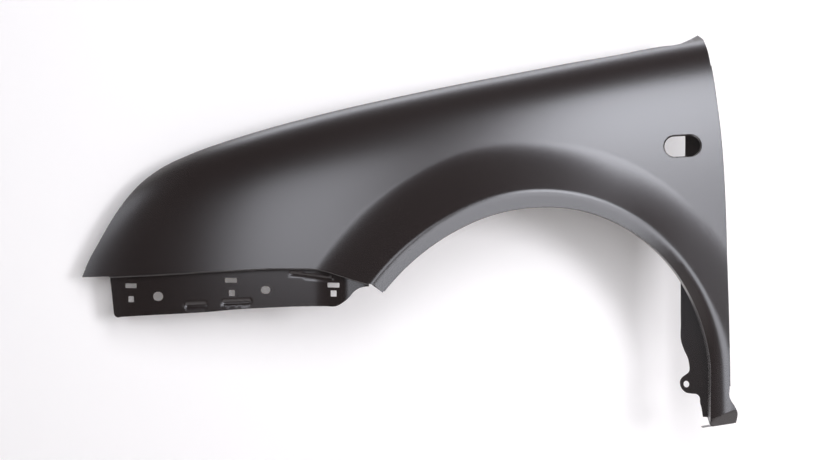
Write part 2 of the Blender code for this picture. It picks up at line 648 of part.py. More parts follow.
def bumper_flange(edges):
    edge = Edge(edges["bumper"])
    bend, tip = edge.by_x(GUSSET_BEND), edge.by_x(BUMPER_REAR)

    def joggle_left(a):
        return np.clip((tip - a) / (tip - bend), JOGGLE_LEAST, 1)

    def side_view(points):
        """Distances along and across the strip of points given by X and Z."""
        x, z = np.asarray(points, float).T
        along = np.interp(x, edge.flat[:, 0], edge.along)
        line_z = np.interp(x, edge.flat[:, 0], edge.flat[:, 1])
        return np.stack([along, fold.last + line_z - 2 * BEND - z], axis=1)

    legs = [((0, 1, 0), JOGGLE), ((0, 0, -1), BUMPER_DROP)]
    fold = Fold(edge, legs, joggle_left, upright=True)
    foot = smooth_curve(BUMPER_FOOT + GUSSET_FOOT, MESH_STEP / 2)[::-1]
    front = foot[-1]
    corner = [front + BUMPER_CORNER * np.array([1 - math.sin(t), 1 - math.cos(t)])
              for t in np.radians([0, 30, 60, 90])]
    foot = foot[foot[:, 0] > front[0] + BUMPER_CORNER * 1.2]
    edge_z = np.interp(front[0], edge.flat[:, 0], edge.flat[:, 1])
    up = line(corner[-1], (BUMPER_FRONT, edge_z - 3 * BEND), MESH_STEP)[1:]
    free_edge = side_view(np.concatenate([foot, corner, up]))
    holes = [rounded_slot(place, SLOT_LENGTH, SLOT_WIDTH, SLOT_CORNER) for place in CLIP_SLOTS]
    holes += [rounded_slot(place, SQUARE_SIZE, SQUARE_SIZE, SQUARE_CORNER)
              for place in SQUARE_HOLES]
    holes += [rounded_slot((x, z), length, width, 1) for x, z, length, width in LOCATING_HOLES]
    loops = [rounded_slot((x, z), length - walls, width - walls, 1, slope, 2 * FINE_STEP)
             for walls in (0, 2 * BEAD_WALL) for x, z, length, width, slope in BEADS]
    holes, loops = [side_view(hole) for hole in holes], [side_view(loop) for loop in loops]
    flat, faces = strip(fold, edge.by_x(BUMPER_FRONT), tip, free_edge, holes, loops)
    spots = fold.lift(flat)
    out = np.cross(fold.heading, fold.tangent)
    for floor in loops[len(BEADS):]:
        sunk = inside(flat, grown(floor))
        spots[sunk] -= BEAD_DEPTH * out[sunk]
    return spots, faces


def door_flange(edges):
    edge = Edge(edges["rear"])
    forward = (-math.cos(DOOR_ANGLE), math.sin(DOOR_ANGLE), 0)
    reach = max(ahead for _, ahead in DOOR_OUTLINE) / math.cos(DOOR_ANGLE)
    fold = Fold(edge, [((0, 1, 0), DOOR_RETURN), (forward, reach)])
    first, last = edge.along[1], edge.by_z(DOOR_OUTLINE[-1][0])

    def across(z, ahead):
        a = edge.by_z(z)
        if z < edge.flat[0, 1]:
            a = z - edge.flat[0, 1]
        return (a, fold.last + ahead / math.cos(DOOR_ANGLE))

    knots = [across(z, ahead) for z, ahead in DOOR_OUTLINE]
    free_edge = smooth_curve(knots, 2 * FINE_STEP)[::-1]
    drop, inset = DOOR_HEEL
    heel = [across(DOOR_OUTLINE[0][0], 2 * inset), across(edge.flat[0, 1] - drop, inset)]
    hole = rounded_slot(across(*EAR_PLACE), EAR_HOLE, EAR_HOLE, 1)
    flat, faces = strip(fold, first, last, np.concatenate([free_edge, heel]), [hole])
    return fold.lift(flat), faces


def lamp_rim():
    """The inward collar round the indicator opening."""
    fold = Fold(Edge(lamp_outline()[::-1], closed=True), [(None, LAMP_RIM)])
    count, rows = len(fold.edge.flat), fold.rows()
    flat = [(a, v) for v in rows for a in fold.edge.along]
    faces = []
    for j in range(len(rows) - 1):
        for i in range(count):
            k = (i + 1) % count
            a, b = j * count + i, j * count + k
            faces += [(a, b, b + count), (a, b + count, a + count)]
    return fold.lift(flat), np.array(faces)


def blank(edges):
    order = ("arch", "sill", "foot", "rear", "rear_top", "top", "bumper")
    outline = np.concatenate([edges[name] for name in order])
    outline = outline[np.hypot(*(outline - np.roll(outline, 1, axis=0)).T) > 1e-5]
    wanted, clearance, settled = form_points(edges, MESH_STEP)
    flat, faces = triangulate(outline, [], [lamp_outline()], wanted, clearance, settled, relax=4)
    return on_surface(flat), faces


def add_patch(sheet, places, faces):
    made = [sheet.verts.new(p) for p in places]
    used = set()
    for face in faces:
        if len(set(face)) == 3:
            sheet.faces.new([made[i] for i in face])
            used.update(face)
    for i, vertex in enumerate(made):
        if i not in used:
            sheet.verts.remove(vertex)


def primer():
    material = bpy.data.materials.new("black_primer")
    material.use_nodes = True
    surface = material.node_tree.nodes["Principled BSDF"]
    surface.inputs["Base Color"].default_value = PRIMER_COLOUR
    surface.inputs["Roughness"].default_value = PRIMER_ROUGHNESS
    return material


def make_panel():
    edges = blank_edges(MESH_STEP)
    patches = [blank(edges), lamp_rim(), arch_return(edges), sill_flange(edges),
               headlamp_return(edges), bonnet_channel(edges), bumper_flange(edges),
               door_flange(edges)]
    origin = rear_seat(edges)
    sheet = bmesh.new()
    for places, faces in patches:
        add_patch(sheet, places - origin, faces)
    bmesh.ops.remove_doubles(sheet, verts=sheet.verts, dist=WELD)
    bmesh.ops.recalc_face_normals(sheet, faces=sheet.faces)
    if sum(face.normal.y * face.calc_area() for face in sheet.faces) > 0:
        bmesh.ops.reverse_faces(sheet, faces=sheet.faces)
    for face in sheet.faces:
        face.smooth = True
    for edge in sheet.edges:
        edge.smooth = edge.is_boundary or edge.calc_face_angle() < SHARP
    mesh = bpy.data.meshes.new("fender_panel")
    sheet.to_mesh(mesh)
    sheet.free()
    mesh.materials.append(primer())
    panel = bpy.data.objects.new("fender_panel", mesh)
    bpy.context.collection.objects.link(panel)
    thick = panel.modifiers.new("thickness", "SOLIDIFY")
    thick.thickness = SHEET
    thick.offset = -1
    thick.use_even_offset = True


for old in list(bpy.data.objects):
    bpy.data.objects.remove(old, do_unlink=True)
make_panel()
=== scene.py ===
# Looks for the left front fender: one pressed steel sheet in satin black primer.
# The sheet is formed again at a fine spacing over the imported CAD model, then painted, lit and framed.
# Drawing axes: X to the rear of the car, Y inboard, Z up, zero at the centre of the arch's rear arc.

import math

import bmesh
import bpy
import numpy as np
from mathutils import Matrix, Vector, kdtree
from mathutils.geometry import delaunay_2d_cdt


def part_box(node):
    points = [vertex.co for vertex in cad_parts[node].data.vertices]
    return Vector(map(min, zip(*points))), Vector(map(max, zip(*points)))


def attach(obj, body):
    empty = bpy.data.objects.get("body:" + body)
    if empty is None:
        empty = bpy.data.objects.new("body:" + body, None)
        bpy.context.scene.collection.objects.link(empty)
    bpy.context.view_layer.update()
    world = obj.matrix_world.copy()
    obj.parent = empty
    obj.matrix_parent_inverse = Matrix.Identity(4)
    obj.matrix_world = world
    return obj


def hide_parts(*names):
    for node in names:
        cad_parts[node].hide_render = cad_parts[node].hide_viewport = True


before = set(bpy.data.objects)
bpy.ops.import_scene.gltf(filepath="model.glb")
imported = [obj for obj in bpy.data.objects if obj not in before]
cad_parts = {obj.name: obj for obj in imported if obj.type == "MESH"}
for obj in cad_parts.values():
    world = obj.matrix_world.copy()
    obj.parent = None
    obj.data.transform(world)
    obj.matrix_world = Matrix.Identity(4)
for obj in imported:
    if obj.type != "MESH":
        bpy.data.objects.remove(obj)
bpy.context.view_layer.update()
panelBox = [Vector(corner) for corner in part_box("fender_panel")]

# Sheet, in metres
sheet = {
    "thickness": 0.0008,
    "bend": 0.0016,          # outside radius of a fold
    "bendFacets": 6,
    "spacing": 0.0052,       # between points on the open surface
    "holeSpacing": 0.0016,   # between points round a hole
    "relief": 0.004,         # from a corner of the blank to its flanges
    "corner": 0.004,         # of a flange's free edge
    "cornerCut": 0.3,        # share of a corner's size that is cut off it
    "sharp": math.radians(40),   # faces that meet more sharply than this keep a hard edge
    "weld": 2e-5,            # joins the patches along their shared edges
    "same": 1e-5,            # points of an outline nearer than this are one
    "slack": 1e-6,           # for comparing distances along an edge
    "merge": 1e-7,           # for the triangulation
    "probe": 1e-5,           # step over which the slope of the surface is taken
    "relaxTurns": 3,         # rounds in which the loose points even out
    # least distances between points, in spacings
    "stopClear": 0.4,
    "legClear": 0.5,
    "ringClear": 0.6,
    "gridClear": 0.7,
    # the shading follows the drawn surface on points this near it and faces this near its tilt
    "drawnWithin": 0.0001,
    "drawnTilt": math.radians(20),
}


def smoothCurve(knots, step):
    # points about one step apart on a smooth curve through the knots
    knots = np.array(knots, float)
    along = np.concatenate([[0], np.cumsum(np.hypot(*np.diff(knots, axis=0).T))])
    slopes = np.gradient(knots, along, axis=0)
    count = max(2, round(along[-1] / step) + 1)
    places = np.linspace(0, along[-1], count)
    k = np.clip(np.searchsorted(along, places, side="right") - 1, 0, len(knots) - 2)
    gap = (along[k + 1] - along[k])[:, None]
    t = (places[:, None] - along[k][:, None]) / gap
    return ((2 * t**3 - 3 * t**2 + 1) * knots[k] + (t**3 - 2 * t**2 + t) * gap * slopes[k]
            + (3 * t**2 - 2 * t**3) * knots[k + 1] + (t**3 - t**2) * gap * slopes[k + 1])


def softRamp(s, rounding):
    # s where it is positive, 0 where it is negative, with a rounded corner
    return np.where(abs(s) < rounding, (s + rounding)**2 / (4 * rounding), np.maximum(s, 0))


# Wheel arch: two arcs that meet smoothly and a straight leg
arch = {
    "rearRadius": 0.318,
    "frontRadius": 0.442,
    "jointAngle": math.radians(116),
    "frontAngle": math.radians(143.1),
    # angle in degrees about the rear arc's centre, and width of the lip band there
    "lipWidths": [(-18, 0.0195), (-4, 0.0182), (18, 0.0228), (38, 0.0232), (60, 0.0245),
                  (76, 0.0260), (92, 0.0290), (112, 0.0295), (128, 0.0282), (152, 0.0262)],
    "lipStep": 2,            # degrees between the points of their curve
    "lipSlopeFront": 0.12,
    "lipSlopeRear": 0.60,
    "legSpread": math.radians(64),   # over which the lip flattens, up from the rear leg
    "flareRear": 0.070,      # from the crease out to the plain body side
    "flareFront": 0.102,
    "flareSpread": math.radians(140),
    "flarePower": 1.55,
    "flareRound": 0.006,     # softens the flare's start at the crease
    "creaseRound": 0.0035,
    "legRound": 0.018,       # of the crease where it runs down the rear leg
    "return": 0.024,
    "rows": (0, 0.5, -0.5, 1, -1, 1.7, 2.5, 3.6),   # of points, in roundings off the crease
    "rowGap": 0.35,          # least distance between their points, in roundings
    "rowEnd": 0.006,         # angle by which they stop short of the front end
}

# Body side: lean above the wheel, shoulder roll under the bonnet line, sweep of the nose
bodySide = {
    "leanDepth": 0.0477,
    "leanHeight": 0.742,
    "leanPower": 1.62,
    "shoulderDepth": 0.0420,
    "shoulderLength": 0.0526,
    "edgeDepth": 0.0029,     # a tighter roll right at the bonnet line
    "edgeLength": 0.009,
    "sweepStart": 0.178,
    "sweepLength": 1.010,
    "sweepTaper": 0.067,
    "noseRoll": 0.0478,
    "nosePower": 5.9,
    # the line that the shoulder rolls down from: X, and Z above the crest of the arch
    "bonnetLine": [(0.360, 0.292), (0.203, 0.265), (0.0, 0.227), (-0.2, 0.189), (-0.4, 0.146),
                   (-0.55, 0.107), (-0.65, 0.075), (-0.72, 0.044), (-0.80, -0.006),
                   (-0.92, -0.095)],
    "lineStep": 0.01,
}

# Sill foot under the door corner
sill = {
    "crease": 0.073,         # below the arch centre
    "slope": 0.14,
    "height": 0.0250,
    "tuck": 0.70,
    "foot": 0.0280,          # length behind the leg's crease
    "rise": 0.003,           # of its lower rear corner over the line of the slope
    # from that corner, up and forwards into the rear edge
    "heel": [(0, 0.0180), (-0.0060, 0.0318), (-0.0118, 0.0405), (-0.0146, 0.0475)],
    "rows": (-1, -0.5, 0, 0.5, 1),   # of points, in roundings off the crease
    "flange": 0.022,
    "flangeCorner": 0.005,
    "tab": 0.013,            # forward of the flange
    "tabRoot": 0.004,        # from the flange's fold to the tab's side
    "tabRootCorner": 0.003,
    "tabRootCut": 1 / 3,     # share of that corner's size that is cut off it
}

frontCentre = (np.array([math.cos(arch["jointAngle"]), math.sin(arch["jointAngle"])])
               * (arch["rearRadius"] - arch["frontRadius"]))
bonnetCurve = smoothCurve(bodySide["bonnetLine"], bodySide["lineStep"])[::-1] + [0, arch["rearRadius"]]
lipCurve = smoothCurve(arch["lipWidths"], arch["lipStep"])


def creasePoint(angle, inset=0.0):
    onFront = angle > arch["jointAngle"]
    centre = frontCentre if onFront else np.zeros(2)
    radius = arch["frontRadius"] if onFront else arch["rearRadius"]
    return centre + (radius - inset) * np.array([math.cos(angle), math.sin(angle)])


def beyondCrease(x, z):
    # distance outwards from the crease of the arch, negative over the lip band
    fx, fz = x - frontCentre[0], z - frontCentre[1]
    ahead = fx * math.sin(arch["jointAngle"]) < fz * math.cos(arch["jointAngle"])
    front = np.hypot(fx, fz) - arch["frontRadius"]
    rear = np.hypot(x, z) - arch["rearRadius"]
    return np.where(ahead, front, np.where(z > 0, rear, x - arch["rearRadius"]))


def roundArch(x, z):
    # 0 at the rear leg, rising to 1 over the crest
    share = np.clip(np.arctan2(z, x) / arch["legSpread"], 0, 1)
    return share * share * (3 - 2 * share)


def lipWidth(x, z):
    # from the crease to where the return folds away
    angle = math.degrees(math.atan2(z, x))
    return float(np.interp(angle, lipCurve[:, 0], lipCurve[:, 1])) - sheet["bend"]


def bodyDepth(x, z):
    below = np.interp(x, bonnetCurve[:, 0], bonnetCurve[:, 1]) - z
    upright = np.clip(1 - below / bodySide["leanHeight"], 0, None)
    lean = bodySide["leanDepth"] * upright**bodySide["leanPower"]
    shoulder = (bodySide["shoulderDepth"] * np.exp(-below / bodySide["shoulderLength"])
                + bodySide["edgeDepth"] * np.exp(-np.maximum(below, 0) / bodySide["edgeLength"]))
    ahead = np.clip((bodySide["sweepStart"] - x) / bodySide["sweepLength"], 0, None)
    sweep = (bodySide["sweepTaper"] * ahead**2
             + bodySide["noseRoll"] * ahead**bodySide["nosePower"])
    return lean + shoulder + sweep


def flareWidth(x, z):
    share = np.clip(np.arctan2(z, x) / arch["flareSpread"], 0, 1)
    return arch["flareRear"] + (arch["flareFront"] - arch["flareRear"]) * share


def surfaceDepth(x, z):
    # Y of the outer surface
    s = beyondCrease(x, z)
    share = np.clip(softRamp(s, arch["flareRound"]) / flareWidth(x, z), 0, 1)
    flared = bodyDepth(x, z) * (1 - (1 - share)**arch["flarePower"])
    crest = roundArch(x, z)
    slope = arch["lipSlopeRear"] + (arch["lipSlopeFront"] - arch["lipSlopeRear"]) * crest
    rounding = arch["creaseRound"] + (arch["legRound"] - arch["creaseRound"]) * (1 - crest)**2
    lip = slope * softRamp(-s, rounding)
    under = sill["slope"] * (x - arch["rearRadius"]) - sill["crease"] - z
    tuck = sill["tuck"] * softRamp(under, arch["creaseRound"])
    return flared + np.maximum(lip, tuck)


def onSurface(flat):
    x, z = np.asarray(flat, float).T
    return np.stack([x, surfaceDepth(x, z), z], axis=1)


def outwardNormals(flat):
    x, z = np.asarray(flat, float).T
    d = sheet["probe"]
    byX = (surfaceDepth(x + d, z) - surfaceDepth(x - d, z)) / (2 * d)
    byZ = (surfaceDepth(x, z + d) - surfaceDepth(x, z - d)) / (2 * d)
    normals = np.stack([byX, -np.ones_like(byX), byZ], axis=1)
    return normals / np.linalg.norm(normals, axis=1)[:, None]


# Flat patterns

def line(start, end, step):
    count = max(1, round(math.dist(start, end) / step))
    return np.linspace(start, end, count + 1)


def spaced(outline):
    # a closed outline without repeated points
    return outline[np.hypot(*(outline - np.roll(outline, 1, axis=0)).T) > sheet["same"]]


def roundedSlot(centre, length, width, corner, tilt=0.0, step=sheet["holeSpacing"]):
    # closed outline, anticlockwise, with evenly spaced points
    corner = min(corner, width / 2, length / 2)
    turns = max(2, round(corner * math.pi / 2 / step))
    corners = []
    for k, (sx, sy) in enumerate(((1, 1), (-1, 1), (-1, -1), (1, -1))):
        hub = np.array([sx * (length / 2 - corner), sy * (width / 2 - corner)])
        for i in range(turns + 1):
            angle = (k + i / turns) * math.pi / 2
            corners.append(hub + corner * np.array([math.cos(angle), math.sin(angle)]))
    corners = spaced(np.array(corners))
    points = []
    for here, there in zip(corners, np.roll(corners, -1, axis=0)):
        points += list(line(here, there, 2 * step)[:-1])
    turn = np.array([[math.cos(tilt), math.sin(tilt)], [-math.sin(tilt), math.cos(tilt)]])
    return np.array(points) @ turn + centre


def inside(points, loop):
    x, y = points[:, 0][:, None], points[:, 1][:, None]
    (x0, y0), (x1, y1) = loop.T, np.roll(loop, -1, axis=0).T
    crosses = (y0 > y) != (y1 > y)
    with np.errstate(divide="ignore", invalid="ignore"):
        at = x0 + (y - y0) / (y1 - y0) * (x1 - x0)
    return (crosses & (x < at)).sum(axis=1) % 2 == 1


def toLoop(points, loop):
    # distance of each point from a closed outline
    a, b = loop[None], np.roll(loop, -1, axis=0)[None]
    along = b - a
    t = ((points[:, None] - a) * along).sum(-1) / (along**2).sum(-1)
    near = a + np.clip(t, 0, 1)[..., None] * along
    return np.linalg.norm(points[:, None] - near, axis=2).min(axis=1)


def thinned(fixed, wanted, clearance):
    # the wanted points that stay clear of the fixed ones and of each other
    tree = kdtree.KDTree(len(fixed) + len(wanted))
    for i, p in enumerate(np.concatenate([fixed, wanted])):
        tree.insert((p[0], p[1], 0), i)
    tree.balance()
    dropped = set()
    for i, p in enumerate(wanted):
        number = i + len(fixed)
        for _, other, _ in tree.find_range((p[0], p[1], 0), clearance[i]):
            if other < number and other not in dropped:
                dropped.add(number)
                break
    kept = [p for i, p in enumerate(wanted) if i + len(fixed) not in dropped]
    return np.array(kept).reshape(-1, 2)


def relaxed(points, faces, first):
    sums, counts = np.zeros_like(points), np.zeros(len(points))
    for a, b in ((0, 1), (1, 2), (2, 0)):
        for here, there in ((a, b), (b, a)):
            np.add.at(sums, faces[:, here], points[faces[:, there]])
            np.add.at(counts, faces[:, here], 1)
    moved = points.copy()
    moved[first:] = sums[first:] / np.maximum(counts[first:], 1)[:, None]
    return moved


def outerSlivers(faces, count):
    # faces that run along an edge of the outline the wrong way lie outside it
    start, end = faces, np.roll(faces, -1, axis=1)
    return ((end < count) & (start < count) & ((end + 1) % count == start)).any(axis=1)


def triangulate(outline, loops, holes, wanted, clearance, settled=0, relax=0):
    rings = [outline] + loops + holes
    fixed = np.concatenate(rings)
    edges, start = [], 0
    for ring in rings:
        edges += [(start + i, start + (i + 1) % len(ring)) for i in range(len(ring))]
        start += len(ring)
    rows = thinned(fixed, wanted[:settled], clearance[:settled])
    loose = np.zeros((0, 2))
    if settled < len(wanted):
        loose = thinned(np.concatenate([fixed, rows]), wanted[settled:], clearance[settled:])
    free = []
    for group in (rows, loose):
        kept = inside(group, outline)
        for hole in holes:
            kept &= ~inside(group, hole)
        free.append(group[kept])
    looseFrom = len(fixed) + len(free[0])
    flat = np.concatenate([fixed] + free)
    for turn in range(relax + 1):
        found = delaunay_2d_cdt([tuple(p) for p in flat], edges, [], 0, sheet["merge"])
        points, faces = np.array([tuple(p) for p in found[0]]), np.array(found[2])
        if turn < relax and len(points) == len(flat):
            flat = relaxed(points, faces, looseFrom)
    middles = points[faces].mean(axis=1)
    kept = inside(middles, outline)
    for hole in holes:
        kept &= ~inside(middles, hole)
    return points, faces[kept & ~outerSlivers(faces, len(outline))]


# Outline of the blank in side view. Z counts from the crest of the arch crease and X from its
# centre, or on the rear edge from the crease's straight leg. The bumper line and the nose tip
# count from the crease's front end.
outlines = {
    "top": [(0.1989, 0.2603), (0.1576, 0.2514), (0.1142, 0.2436), (0.0702, 0.2364),
            (-0.0033, 0.2227), (-0.2005, 0.185), (-0.3969, 0.1421), (-0.5428, 0.103),
            (-0.6383, 0.071), (-0.6987, 0.0431), (-0.7371, 0.013), (-0.7732, -0.0314),
            (-0.8069, -0.0873), (-0.8317, -0.1325)],
    "rearTop": [(-0.0251, 0.2861), (-0.044, 0.2758), (-0.0569, 0.2702), (-0.0955, 0.2643)],
    "rear": [(0.0153, -0.3471), (0.0137, -0.2242), (0.0121, -0.1182), (0.0104, -0.0118),
             (0.0054, 0.0953), (-0.0015, 0.1678), (-0.0071, 0.2227), (-0.0113, 0.2589),
             (-0.0154, 0.278)],
    "bumper": [(-0.0368, 0.0082), (-0.0598, 0.0151), (-0.0879, 0.023), (-0.1527, 0.0261),
               (-0.2681, 0.0214), (-0.3859, 0.0141), (-0.4844, 0.0087)],
    "noseTip": (-0.5427, 0.008),
}


def marked(points, axis=0, values=()):
    # the run with a point where each flange starts and ends
    along = np.concatenate([[0], np.cumsum(np.hypot(*np.diff(points, axis=0).T))])
    stops = [sheet["relief"], along[-1] - sheet["relief"]]
    order = np.argsort(points[:, axis])
    stops += [float(np.interp(v, points[order, axis], along[order])) for v in values]
    close = sheet["stopClear"] * sheet["spacing"]
    kept = [a for a in along[1:-1] if min(abs(a - stop) for stop in stops) > close]
    places = np.unique([0, along[-1]] + stops + kept)
    return np.stack([np.interp(places, along, points[:, k]) for k in (0, 1)], axis=1)


def headlampEnds():
    # X of the upper and the lower end of the headlamp's return
    upper = channel["front"] - lampReturn["gap"]
    return upper, upper - lampReturn["length"]


def blankEdges():
    # runs of the blank's outline, anticlockwise as the camera sees it
    step = sheet["spacing"]
    turn = round(arch["frontRadius"] * (arch["frontAngle"] - arch["jointAngle"]) / step)
    sweep = round(arch["rearRadius"] * arch["jointAngle"] / step)
    angles = np.concatenate([
        np.linspace(arch["frontAngle"], arch["jointAngle"], turn, endpoint=False),
        np.linspace(arch["jointAngle"], 0, sweep)])
    hem = np.array([creasePoint(a, lipWidth(*creasePoint(a))) for a in angles])
    radius, low = arch["rearRadius"], -sill["crease"] - sill["height"]
    footFront = np.array([radius - lipWidth(radius, low), low])
    footRear = np.array([radius + sill["foot"], low + sill["slope"] * sill["foot"] + sill["rise"]])
    heel = footRear + np.array(sill["heel"])
    rear = np.array(outlines["rear"]) + [radius - sheet["bend"], radius]
    creaseEnd = creasePoint(arch["frontAngle"])
    tip = creaseEnd + outlines["noseTip"]
    under = np.array(outlines["bumper"])[::-1] + creaseEnd + [0, sheet["bend"]]
    top = smoothCurve(np.concatenate([np.array(outlines["top"]) + [0, radius], [tip]]), step)
    bottom = smoothCurve(np.concatenate([[tip], under, [creaseEnd]]), step)
    stops = [channel["rear"], channel["front"], *headlampEnds()]
    return {
        "arch": marked(np.concatenate([hem, line(hem[-1], footFront, step)[1:]])),
        "sill": marked(line(footFront, footRear, step)),
        "foot": smoothCurve([footRear, *heel, rear[0]], step / 2),
        "rear": marked(smoothCurve(rear, step), 1, [door["outline"][-1][0]]),
        "rearTop": smoothCurve(np.array(outlines["rearTop"]) + [radius, radius], step),
        "top": marked(top, 0, stops),
        "bumper": marked(bottom, 0, [bumper["front"], bumper["gussetBend"], bumper["rear"]]),
    }


# Side indicator opening
indicator = {
    "x": 0.254,
    "z": 0.3993,
    "length": 0.0695,
    "height": 0.042,
    "tilt": math.radians(3),
    "rim": 0.0035,
    "rimLean": math.radians(25),
}


def indicatorOutline():
    return roundedSlot((indicator["x"], indicator["z"]), indicator["length"], indicator["height"],
                       indicator["height"] / 2, indicator["tilt"])


def formPoints(edges):
    # rows where the surface bends most, then a plain grid over the rest
    step, fillet, radius = sheet["spacing"], arch["creaseRound"], arch["rearRadius"]
    points, clear = [], []

    def add(new, gap):
        points.append(np.asarray(new, float))
        clear.append(np.full(len(new), gap))

    rowGap = fillet * arch["rowGap"]
    last = arch["frontAngle"] - arch["rowEnd"]
    angles = np.linspace(0, last, round(last * radius / step))
    legs = np.arange(-sill["crease"] - sill["height"], 0, step)
    for offset in arch["rows"]:
        inset = -offset * fillet
        add([creasePoint(a, inset) for a in angles], rowGap)
        add([(radius - inset, z) for z in legs], rowGap)
    across = np.arange(radius, radius + sill["foot"], step / 2)
    for drop in sill["rows"]:
        add([(x, sill["slope"] * (x - radius) - sill["crease"] - drop * fillet)
             for x in across], rowGap)
    allPoints = np.concatenate(list(edges.values()))
    low, high = allPoints.min(axis=0), allPoints.max(axis=0)
    xs = np.arange(low[0], high[0] + step, step)
    zs = np.arange(low[1], high[1] + step, step * math.sqrt(3) / 2)
    grid = np.array([(x + (j % 2) * step / 2, z) for j, z in enumerate(zs) for x in xs])
    settled = sum(len(group) for group in points)
    add(grid, step * sheet["gridClear"])
    return np.concatenate(points), np.concatenate(clear), settled


# Folded strips

class Edge:
    # a run of the blank's edge, with the frame that its flange is folded in

    def __init__(self, flat, closed=False):
        self.flat = flat
        self.at = onSurface(flat)
        self.normal = outwardNormals(flat)
        if closed:
            tangent = np.roll(self.at, -1, axis=0) - np.roll(self.at, 1, axis=0)
        else:
            tangent = np.gradient(self.at, axis=0)
        self.tangent = tangent / np.linalg.norm(tangent, axis=1)[:, None]
        self.out = np.cross(self.tangent, self.normal)
        steps = np.linalg.norm(np.diff(self.at, axis=0), axis=1)
        self.along = np.concatenate([[0], np.cumsum(steps)])

    def byX(self, x):
        order = np.argsort(self.flat[:, 0])
        return float(np.interp(x, self.flat[order, 0], self.along[order]))

    def byZ(self, z):
        order = np.argsort(self.flat[:, 1])
        return float(np.interp(z, self.flat[order, 1], self.along[order]))

    def frameAt(self, a):
        parts = [np.stack([np.interp(a, self.along, values[:, k]) for k in range(3)], axis=1)
                 for values in (self.at, self.tangent, self.out, self.normal)]
        past = a - np.clip(a, 0, self.along[-1])
        parts[0] = parts[0] + past[:, None] * parts[1]
        return parts


class Fold:
    # a strip folded off an edge by legs of (direction, length). A number for the direction is the
    # lean off straight in.

    def __init__(self, edge, legs, reach=None, upright=False):
        self.edge, self.legs, self.reach, self.upright = edge, legs, reach, upright
        self.turn = sheet["bend"] * math.pi / 2
        self.ends = np.cumsum([self.turn + length for _, length in legs])
        self.last = self.ends[-1] - legs[-1][1]     # where the last flat leg starts

    def lift(self, flat):
        # places in space of points given along the edge and across the strip
        a, v = np.asarray(flat, float).T
        place, tangent, heading, normal = self.edge.frameAt(a)
        start = 0.0
        for number, (direction, length) in enumerate(self.legs):
            if np.ndim(direction) == 0:
                aim = math.sin(direction) * heading - math.cos(direction) * normal
            else:
                aim = np.tile(np.array(direction, float), (len(a), 1))
            if not self.upright:
                aim = aim - (aim * tangent).sum(axis=1)[:, None] * tangent
                aim /= np.linalg.norm(aim, axis=1)[:, None]
            cosine = np.clip((aim * heading).sum(axis=1), -1, 1)
            side = aim - cosine[:, None] * heading
            side /= np.maximum(np.linalg.norm(side, axis=1), sheet["merge"])[:, None]
            turned = np.clip((v - start) / self.turn, 0, 1) * np.arccos(cosine)
            place = place + sheet["bend"] * (np.sin(turned)[:, None] * heading
                                             + (1 - np.cos(turned))[:, None] * side)
            run = np.clip(v - start - self.turn, 0, None)
            if number < len(self.legs) - 1:
                run = np.minimum(run, length)
                if self.reach is not None:
                    run = run * self.reach(a)
            place = place + run[:, None] * aim
            heading = aim
            start += self.turn + length
        self.heading, self.tangent = heading, tangent
        return place

    def rows(self):
        found, start = [], 0.0
        for _, length in self.legs:
            facets = sheet["bendFacets"]
            found += [start + self.turn * k / facets for k in range(facets + 1)]
            parts = max(1, round(length / sheet["spacing"]))
            found += [start + self.turn + length * k / parts for k in range(1, parts + 1)]
            start += self.turn + length
        return np.unique(np.round(found, 7))


def strip(fold, first, last, freeEdge, holes=(), loops=(), extra=None):
    # flat pattern of a strip between two distances along its edge, freeEdge from last to first
    edge = fold.edge
    slack = sheet["slack"]
    inner = edge.along[(edge.along > first - slack) & (edge.along < last + slack)]
    rows = fold.rows()
    side = rows[(rows > 0) & (rows < fold.last + slack)]
    ends = [np.stack([np.full_like(side, a), side], axis=1) for a in (inner[-1], inner[0])]
    base = np.stack([inner, np.zeros_like(inner)], axis=1)
    outline = np.concatenate([base, ends[0], freeEdge, ends[1][::-1]])
    outline = spaced(outline)
    wanted = np.array([(a, v) for v in rows[1:] for a in inner])
    gap = sheet["spacing"] * sheet["legClear"]
    clearance = np.where(wanted[:, 1] < fold.last + slack, sheet["same"], gap)
    if extra is not None:
        wanted = np.concatenate([extra, wanted])
        ringGap = sheet["holeSpacing"] * sheet["ringClear"]
        clearance = np.concatenate([np.full(len(extra), ringGap), clearance])
    return triangulate(outline, list(loops), list(holes), wanted, clearance, len(wanted))


def cutCorner(a, v, byA, byV, share=sheet["cornerCut"]):
    # three points round a corner of a free edge
    return [(a, v + byV), (a + share * byA, v + share * byV), (a + byA, v)]


def straightEdge(fold, first, last, corner=sheet["corner"]):
    end = fold.ends[-1]
    between = fold.edge.along[(fold.edge.along > first + corner)
                              & (fold.edge.along < last - corner)]
    return np.array(cutCorner(last, end, -corner, -corner)
                    + [(a, end) for a in between[::-1]]
                    + cutCorner(first, end, corner, -corner)[::-1])


def archReturn(edges):
    edge = Edge(edges["arch"])
    fold = Fold(edge, [((0, 1, 0), arch["return"])])
    first, last = edge.along[1], edge.along[-2]
    flat, faces = strip(fold, first, last, straightEdge(fold, first, last))
    return fold.lift(flat), faces


def sillFlange(edges):
    edge = Edge(edges["sill"])
    fold = Fold(edge, [((0, 1, 0), sill["flange"])])
    first, last = edge.along[1], edge.along[-2]
    end, root, tab = fold.ends[-1], fold.last + sill["tabRoot"], sill["tab"]
    rear, front, inner = sill["flangeCorner"], sheet["corner"], sill["tabRootCorner"]
    freeEdge = (cutCorner(last, end, -rear, -rear) + [(first, end)]
                + cutCorner(-tab, end, front, -front)[::-1]
                + cutCorner(-tab, root, inner, inner, sill["tabRootCut"]) + [(first, root)])
    flat, faces = strip(fold, first, last, np.array(freeEdge))
    return fold.lift(flat), faces


# Return along the headlamp
lampReturn = {"width": 0.012, "gap": 0.040, "length": 0.120}


